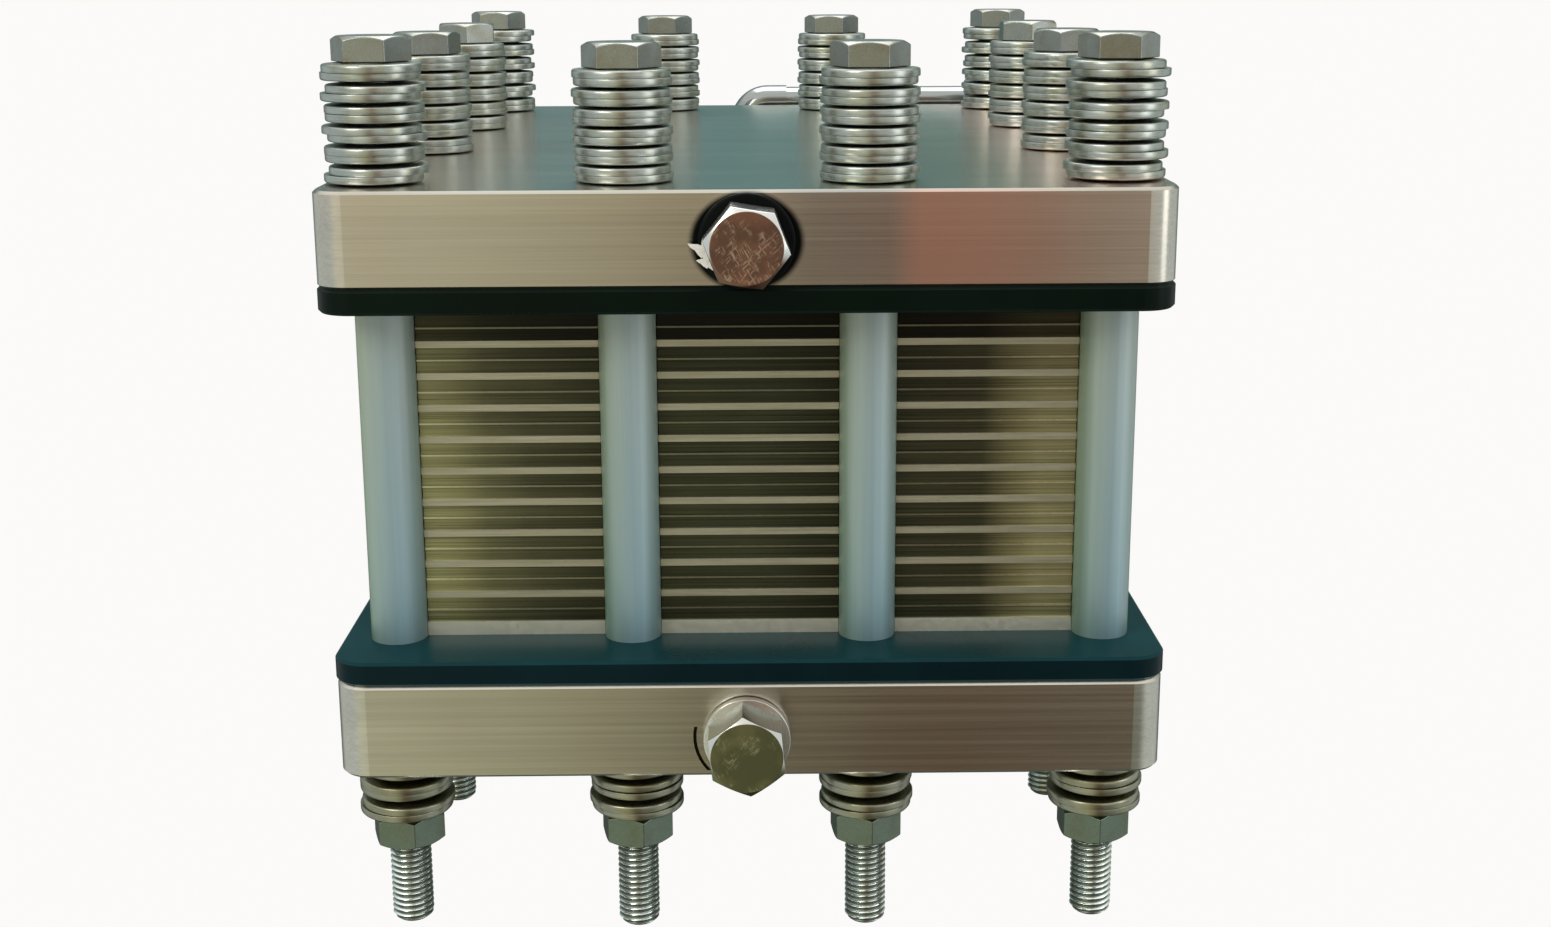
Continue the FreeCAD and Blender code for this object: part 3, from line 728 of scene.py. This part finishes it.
PLUG_STEEL = (0.70, 0.70, 0.68)
MATERIALS = {
    "plate_steel": brushed_plate_material(),
    "insulator_resin": insulator_material(),
    "sleeve_plastic": sleeve_material(),
    "spring_steel": disc_spring_material("disc_spring_steel", WHITE),
    # The lower discs: painted shade under the bottom plate, with an olive tint.
    "lower_spring_steel": disc_spring_material("shaded_lower_disc_spring_steel", (0.78, 0.72, 0.58)),
    "bolt_steel": steel_material("bolt_head_steel", (0.31, 0.33, 0.31), (0.27, 0.26, 0.20)),
    "nut_steel": steel_material("nut_steel", (0.175, 0.215, 0.17), (0.16, 0.18, 0.12)),
    "thread_steel": thread_material(),
    "stack_metal": edge_metal_material(),
    "frame_plastic": frame_material(),
    "sheet_metal": sheet_material(),
    "seal_rubber": plain_material("black_rubber", 1800.0, (0.001, 0.002, 0.002),
                                  (0.003, 0.004, 0.004), (0.35, 0.55), (0.2, 0.03 * MM),
                                  IOR=1.15),
    "plug_steel": steel_material("plug_steel", PLUG_STEEL, (0.60, 0.58, 0.50), (0.20, 0.32)),
    "upper_plug_face": plug_face_material("upper_plug_face", (0.21, 0.125, 0.095),
                                          (0.32, 0.17, 0.125), (0.55, 0.42, 0.33),
                                          (0.70, 0.71, 0.70)),
    "lower_plug_face": plug_face_material("lower_plug_face", (0.19, 0.21, 0.115),
                                          (0.29, 0.29, 0.16), (0.50, 0.48, 0.36),
                                          (0.36, 0.38, 0.34)),
    "tape_white": plain_material("white_tape", 1500.0, (0.62, 0.61, 0.55), (0.82, 0.81, 0.76),
                                 (0.4, 0.6), (0.4, 0.1 * MM), along=(1.0, 1.0, 3.0),
                                 Subsurface_Weight=0.3,
                                 Subsurface_Radius=(0.001, 0.001, 0.001)),
    "tube_steel": tube_material(),
    "dark_fitting": plain_material("dark_fitting", 1400.0, (0.012, 0.020, 0.020),
                                   (0.022, 0.034, 0.034), (0.3, 0.45), (0.1, 0.03 * MM)),
}


def dress_cad_nodes():
    """Give every CAD node the material of its slot in the record."""
    for part in frame["record"]["subparts"]:
        node = NODES[part["node"]]
        node.data.materials.clear()
        node.data.materials.append(MATERIALS[part["material_slot"]])


# ------------------------------------------------------------------ pieces
def build_tie_bolts(places, name, node):
    """Hexagon bolts: rolled thread at the free end, plain shank above it."""
    heads = Shape()
    shanks = Shape()
    into_head = 1 * MM
    plain = [(BOLT_R - 0.4 * MM, BOLT_THREAD_L - 0.5 * MM), (BOLT_R, BOLT_THREAD_L),
             (BOLT_R, BOLT_L + into_head)]
    tip_z = z_span(node)[0]
    for x, y in places:
        spot = Matrix.Translation((x, y, tip_z))
        turn = hexagon_turn(x, y, HEAD_TURN)
        heads.add(*hexagon_bar(HEX_FLATS, BOLT_L, BOLT_L + HEAD_H, False, True, turn), spot)
        shanks.add(*thread(BOLT_R, THREAD_DEPTH, THREAD_PITCH, 0, BOLT_THREAD_L), spot)
        shanks.add(*turned_bar(plain, 48), spot)
    make_object(name + "_heads", heads, MATERIALS["bolt_steel"], BASE, node,
                bevel=0.3 * MM)
    make_object(name + "_shanks", shanks, MATERIALS["thread_steel"], BASE, node,
                sharp=50)


def build_nuts():
    nuts = Shape()
    low, high = z_span("tie_nuts")
    for x, y in ALL_BOLTS:
        turn = hexagon_turn(x, y, NUT_TURN)
        nuts.add(*hexagon_bar(HEX_FLATS, low, high, True, True, turn, bore=NUT_BORE_R),
                 Matrix.Translation((x, y, 0)))
    make_object("hex_nuts", nuts, MATERIALS["nut_steel"], BASE, "tie_nuts",
                bevel=0.25 * MM)


def disc_profile(cone, cup_up):
    """The rim is nearly square where the pair's discs meet and well rounded outside."""
    low_in = 0.0 if cup_up else cone
    low_out = cone - low_in
    corners = [(DISC_BORE_R, low_in), (DISC_R, low_out), (DISC_R, low_out + DISC_T),
               (DISC_BORE_R, low_in + DISC_T)]
    outside, meeting = 0.65 * MM, 0.16 * MM
    rim = (outside, meeting) if cup_up else (meeting, outside)
    return rounded(corners, [0.3 * MM, rim[0], rim[1], 0.3 * MM], 3)


def add_disc_pack(shape, x, y, z_range, pairs, play):
    """Opposed discs on one bolt, each off centre by play in a direction of its own."""
    disc_h = (z_range[1] - z_range[0]) / (2 * pairs)
    cone = disc_h - DISC_T
    for k in range(2 * pairs):
        angle = 2.4 * k + 0.05 * x / MM + 0.03 * y / MM
        spot = (x + play * math.cos(angle), y + play * math.sin(angle), z_range[0] + k * disc_h)
        shape.add(*turned_ring(disc_profile(cone, k % 2 == 0), 64), Matrix.Translation(spot))


def build_disc_springs():
    """Three pieces; the upper packs, with their top under the bolt head, get a mesh of their own.
    """
    groups = [("corner_disc_springs", "upper_disc_springs_corner", CORNER_BOLTS, UPPER_PAIRS,
               CORNER_PLAY),
              ("side_disc_springs", "upper_disc_springs_side", SIDE_BOLTS, UPPER_PAIRS,
               SIDE_PLAY),
              ("under_disc_springs", "lower_disc_springs", ALL_BOLTS, LOWER_PAIRS, SIDE_PLAY)]
    for name, node, places, pairs, play in groups:
        z_range = z_span(node)
        shape = Shape()
        for x, y in places:
            add_disc_pack(shape, x, y, z_range, pairs, play)
        look = "spring_steel" if node.startswith("upper") else "lower_spring_steel"
        piece = make_object(name, shape, MATERIALS[look], BASE, node)
        if node.startswith("upper"):
            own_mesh(piece)


def build_sleeves():
    shape = Shape()
    low, high = z_span("bolt_sleeves")
    profile = rounded([(SLEEVE_BORE_R, low), (SLEEVE_R, low), (SLEEVE_R, high),
                       (SLEEVE_BORE_R, high)], [0.2 * MM, 0.4 * MM, 0.4 * MM, 0.2 * MM], 3)
    for x, y in ALL_BOLTS:
        shape.add(*turned_ring(profile, 72), Matrix.Translation((x, y, 0)))
    make_object("tie_bolt_sleeves", shape, MATERIALS["sleeve_plastic"], BASE,
                "bolt_sleeves")


def facing_front(x, y, z):
    """Stand a shape modelled along +Z up against the front face, pointing to -Y."""
    return Matrix.Translation((x, y, z)) @ Matrix.Rotation(math.radians(90), 4, "X")


def build_plug(body, node, turn_degrees, land, collar_r, collar_t):
    """A hexagon head whose round end is land times the flats, a collar, and the shank behind."""
    low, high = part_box(node)
    seat_y = high.y - PLUG_SHANK_L
    head_h = seat_y - low.y
    spot = facing_front((low.x + high.x) / 2, seat_y, (low.z + high.z) / 2)
    turn = math.radians(turn_degrees)
    into_collar, into_shank, collar_bore_r = 0.2 * MM, 0.5 * MM, 1 * MM
    head = Shape()
    head.add(*hexagon_bar(PLUG_FLATS, collar_t - into_collar, head_h, False, True, turn,
                          land=land), spot)
    collar = rounded([(collar_bore_r, 0), (collar_r, 0), (collar_r, collar_t),
                      (collar_bore_r, collar_t)], [0, 0.25 * MM, 0.25 * MM, 0], 3)
    shank = Shape()
    shank.add(*turned_ring(collar, 72), spot)
    shank.add(*thread(PORT_THREAD_R, PORT_THREAD_DEPTH, PORT_PITCH, -PLUG_SHANK_L, into_shank,
                      count=56, rows_a_turn=8), spot)
    make_object(body + "_head", head, MATERIALS[body + "_face"], body, node,
                bevel=0.2 * MM)
    make_object(body + "_collar_and_thread", shank, MATERIALS["plug_steel"], body,
                node, sharp=50)


def build_seal(name, node, body, round_r):
    """A ring flat against the plate it seals, rounded by round_r outside."""
    low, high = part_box(node)
    outside_r = (high.x - low.x) / 2
    thickness = high.y - low.y
    spot = facing_front((low.x + high.x) / 2, high.y, (low.z + high.z) / 2)
    profile = rounded([(SEAL_BORE_R, 0), (outside_r, 0), (outside_r, thickness),
                       (SEAL_BORE_R, thickness)],
                      [round_r / 2, round_r, round_r, round_r / 2], 4)
    shape = Shape().add(*turned_ring(profile, 80), spot)
    make_object(name, shape, MATERIALS["seal_rubber"], body, node)


def ribbon(path, widths, thickness, rng):
    """A thin torn strip along path, with ragged edges; widths taper to its tip."""
    rows = []
    for i, (centre, width) in enumerate(zip(path, widths)):
        ahead = Vector(path[min(i + 1, len(path) - 1)]) - Vector(path[max(i - 1, 0)])
        side = ahead.cross(Vector((0, 0, 1))).normalized()
        lift = Vector((0, 0, thickness / 2))
        jag = rng.uniform(0.8, 1.2)
        left = Vector(centre) + side * width * jag / 2
        right = Vector(centre) - side * width * (2 - jag) / 2
        rows.append([tuple(left - lift), tuple(right - lift), tuple(right + lift),
                     tuple(left + lift)])
    return loft(rows, cap_ends=True)


def tape_reach(degrees):
    """Outer radius of the squeezed-out band: a thin lip, bulging low on the left."""
    bulge_at, bulge_half_width = 198, 36
    lip_r, bulge_h = 9.3, 3.0
    bulge = max(0.0, 1 - (abs(degrees - bulge_at) / bulge_half_width) ** 2)
    wave = 0.10 * math.sin(math.radians(9 * degrees)) + 0.06 * math.sin(math.radians(23 * degrees))
    return (lip_r + bulge_h * bulge ** 0.6 + wave * (0.4 + bulge)) * MM


def build_tape():
    """Squeezed-out thread tape: a ruffled band and two torn tongues on the left."""
    low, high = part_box("thread_seal_tape")
    spot = facing_front(0, high.y, middle("upper_plug_seal").z)
    rng = random.Random(7)
    thick = high.y - low.y
    inner_r = 8.7 * MM
    count = 144
    rows = []
    for outer, height in ((False, 0.05), (True, 0.0), (True, 0.9), (False, 1.0)):
        row = []
        for j in range(count):
            angle = 360.0 * j / count
            reach = tape_reach(angle) if outer else inner_r
            a = math.radians(angle)
            row.append((reach * math.cos(a), reach * math.sin(a), height * thick))
        rows.append(row)
    shape = Shape().add(*loft(rows, close_rows=True), spot)
    # Middle lines and widths of the torn tongues in millimetres, from the port's axis outwards.
    tongues = [([(-10.9, -2.6), (-12.1, -1.9), (-13.2, -1.3), (-14.4, -0.8), (-15.4, -0.3)],
                [3.4, 2.6, 1.8, 1.1, 0.15]),
               ([(-9.9, -5.6), (-11.0, -5.2), (-11.9, -4.9), (-12.6, -4.8), (-13.2, -4.7)],
                [2.6, 2.0, 1.4, 0.8, 0.12])]
    for points, widths in tongues:
        path = [(px * MM, pz * MM, (0.22 + 0.03 * i) * MM) for i, (px, pz) in enumerate(points)]
        shape.add(*ribbon(path, [w * MM for w in widths], 0.2 * MM, rng), spot)
    make_object("torn_thread_tape", shape, MATERIALS["tape_white"], "upper_seal",
                "thread_seal_tape", sharp=60)


# ------------------------------------------------------------------ stage
def studio_world():
    """Plain and pale to the camera.  What lights the object and shows in its gloss is a room:
    khaki in front and darker to the right with a reddish patch, grey-green behind, pale
    overhead, and bright sides."""
    world = bpy.data.worlds.new("studio")
    bpy.context.scene.world = world
    world.use_nodes = True
    n = Nodes(world.node_tree)
    n.tree.nodes.clear()
    way = n.node("ShaderNodeSeparateXYZ", {0: n.node("ShaderNodeTexCoord").outputs["Generated"]})
    across, along, up = way.outputs
    place = n.math("MULTIPLY_ADD", across, 1.25, 0.5)
    front = n.ramp(place, [(0.10, (0.92, 0.90, 0.76)), (0.26, (0.76, 0.72, 0.53)),
                           (0.40, (0.60, 0.53, 0.35)), (0.50, (0.29, 0.245, 0.185)),
                           (0.57, (0.15, 0.12, 0.095)), (0.61, (0.52, 0.15, 0.10)),
                           (0.66, (0.30, 0.18, 0.12)), (0.73, (0.42, 0.26, 0.17)),
                           (0.88, (0.80, 0.79, 0.73))])
    near_floor = n.mix(n.step(across, -0.14, 0.08), (0.75, 0.80, 0.76), (0.29, 0.32, 0.29))
    depth = n.mix(n.step(up, -0.28, -0.12), near_floor, (0.97, 0.97, 0.97))
    front = n.shaded(front, depth)
    back = n.mix(n.step(across, -0.30, -0.05), (0.16, 0.23, 0.23), (0.085, 0.195, 0.20))
    back = n.mix(n.step(across, 0.0, 0.35), back, (0.165, 0.21, 0.175))
    back = n.mix(n.step(up, -0.35, -0.02), (0.10, 0.12, 0.11), back)
    room = n.mix(n.step(along, -0.35, 0.15), front, back)
    room = n.mix(n.step(n.math("ABSOLUTE", across), 0.55, 0.85), room, (0.63, 0.68, 0.67))
    room = n.mix(n.step(up, 0.35, 0.70), room, (1.05, 1.06, 1.02))
    lit = n.node("ShaderNodeBackground", {"Color": room})
    seen = n.node("ShaderNodeBackground", {"Color": (0.965, 0.957, 0.941, 1)})
    camera_ray = n.node("ShaderNodeLightPath").outputs["Is Camera Ray"]
    both = n.node("ShaderNodeMixShader", {0: camera_ray, 1: lit.outputs[0], 2: seen.outputs[0]})
    n.link(both.outputs[0], n.node("ShaderNodeOutputWorld").inputs["Surface"])


def soft_box(name, size, power, place, target, colour=WHITE):
    lamp = bpy.data.lights.new(name, "AREA")
    lamp.shape = "RECTANGLE"
    lamp.size, lamp.size_y = size
    lamp.energy = power
    lamp.color = colour
    holder = bpy.data.objects.new(name, lamp)
    bpy.context.scene.collection.objects.link(holder)
    holder.location = place
    holder.rotation_euler = (Vector(target) - Vector(place)).to_track_quat("-Z", "Y").to_euler()


def floor():
    """A pale floor that lights the object from below; the camera sees the plain backdrop."""
    g = Graph("pale_floor")
    g.set(Base_Color=(0.93, 0.925, 0.91), Roughness=0.9)
    mesh = bpy.data.meshes.new("pale_floor")
    reach = 12.0
    corners = [(-reach, -reach, 0), (reach, -reach, 0), (reach, reach, 0), (-reach, reach, 0)]
    mesh.from_pydata(corners, [], [(0, 1, 2, 3)])
    mesh.materials.append(g.material)
    ground = bpy.data.objects.new("pale_floor", mesh)
    bpy.context.scene.collection.objects.link(ground)
    ground.visible_glossy = False
    ground.visible_camera = False


def camera():
    """Eye level just above the bolt heads, in front and a touch to the right."""
    lens = bpy.data.cameras.new("view")
    lens.sensor_width = 36.0
    lens.lens = 44.48
    lens.shift_y = -0.041
    lens.clip_start = 0.01
    holder = bpy.data.objects.new("view", lens)
    bpy.context.scene.collection.objects.link(holder)
    holder.location = (0.0022, -0.6550, 0.2767)
    turn = Matrix.Rotation(math.radians(-0.59), 3, "Z")
    tip = Matrix.Rotation(math.radians(90 - 12.80), 3, "X")
    roll = Matrix.Rotation(math.radians(-0.26), 3, "Z")
    holder.rotation_euler = (turn @ tip @ roll).to_euler()
    bpy.context.scene.camera = holder


def lights():
    aim = (0, 0, 0.15)
    soft_box("key", (0.5, 0.5), 5, (-0.75, -0.95, 0.85), aim, (1.0, 0.98, 0.94))
    soft_box("rim", (0.4, 0.9), 2, (1.1, -0.55, 0.45), aim, (1.0, 0.97, 0.94))
    soft_box("top", (0.9, 0.9), 7, (0, 0.5, 1.3), aim)


# ------------------------------------------------------------------ put it together
dress_cad_nodes()
build_tie_bolts(CORNER_BOLTS, "corner_tie_bolt", "tie_bolts_corner")
build_tie_bolts(SIDE_BOLTS, "side_tie_bolt", "tie_bolts_side")
build_nuts()
build_disc_springs()
build_sleeves()
build_plug("upper_plug", "upper_port_plug", 51.0, 0.95, collar_r=9.7 * MM, collar_t=0.6 * MM)
build_plug("lower_plug", "lower_port_plug", 95.5, 0.99, collar_r=12.1 * MM, collar_t=2.6 * MM)
build_seal("upper_plug_ring", "upper_plug_seal", "upper_seal", 0.8 * MM)
build_seal("lower_plug_ring", "lower_plug_seal", "lower_seal", 0.3 * MM)
build_seal("elbow_ring", "rear_elbow_seal", TOP, 0.6 * MM)
build_tape()
floor()
studio_world()
lights()
camera()
bpy.context.scene.view_settings.view_transform = "Standard"
